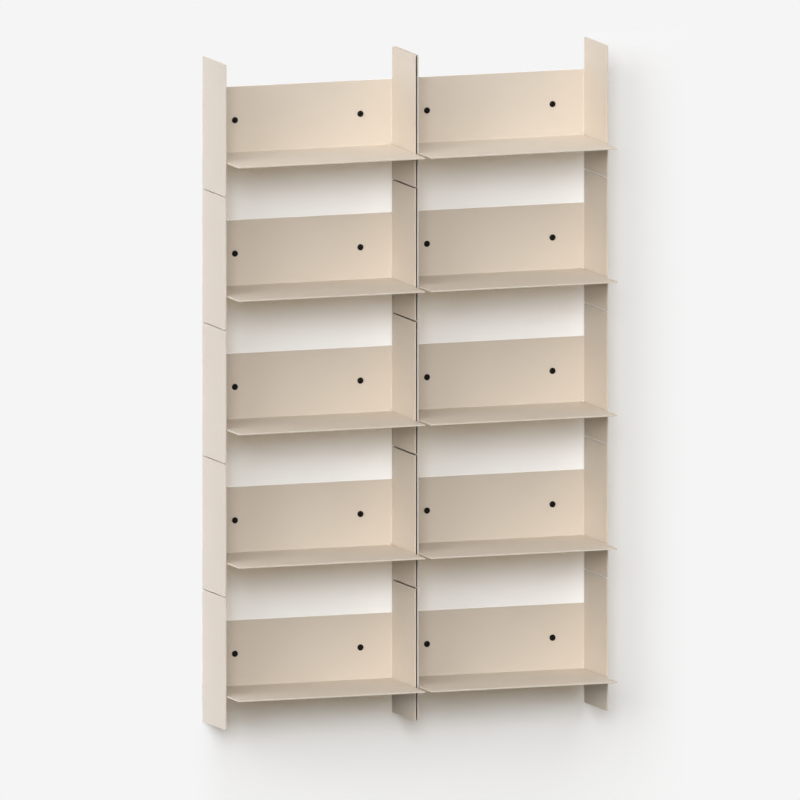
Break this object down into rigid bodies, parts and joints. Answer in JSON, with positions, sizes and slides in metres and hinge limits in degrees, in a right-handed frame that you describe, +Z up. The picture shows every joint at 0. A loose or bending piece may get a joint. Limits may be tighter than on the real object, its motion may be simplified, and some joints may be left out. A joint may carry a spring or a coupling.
{
  "type": "wall bookcase",
  "caption": "Wall bookcase of folded sheet-metal shelf modules with full-height side panels, low back plates and overhanging shelves, fixed to a wall by black button-head screws.",
  "frame": {"origin": "middle of the bookcase on the wall plane, at the centre of the screw grid", "axes": "+Z up, +X to the right seen from the room, +Y into the wall, so the front faces -Y"},
  "size_m": [0.903, 0.282, 1.492],
  "materials": {
    "powder_coat": "satin",
    "screw_steel": "satin"
  },
  "bodies": {
    "root": {"shelf_module_left_1": "powder_coat", "wall_screw_left_1_a": "screw_steel", "wall_screw_left_1_b": "screw_steel", "shelf_module_left_2": "powder_coat", "wall_screw_left_2_a": "screw_steel", "wall_screw_left_2_b": "screw_steel", "shelf_module_left_3": "powder_coat", "wall_screw_left_3_a": "screw_steel", "wall_screw_left_3_b": "screw_steel", "shelf_module_left_4": "powder_coat", "wall_screw_left_4_a": "screw_steel", "wall_screw_left_4_b": "screw_steel", "shelf_module_left_5": "powder_coat", "wall_screw_left_5_a": "screw_steel", "wall_screw_left_5_b": "screw_steel", "shelf_module_right_1": "powder_coat", "wall_screw_right_1_a": "screw_steel", "wall_screw_right_1_b": "screw_steel", "shelf_module_right_2": "powder_coat", "wall_screw_right_2_a": "screw_steel", "wall_screw_right_2_b": "screw_steel", "shelf_module_right_3": "powder_coat", "wall_screw_right_3_a": "screw_steel", "wall_screw_right_3_b": "screw_steel", "shelf_module_right_4": "powder_coat", "wall_screw_right_4_a": "screw_steel", "wall_screw_right_4_b": "screw_steel", "shelf_module_right_5": "powder_coat", "wall_screw_right_5_a": "screw_steel", "wall_screw_right_5_b": "screw_steel"}
  },
  "joints": []
}
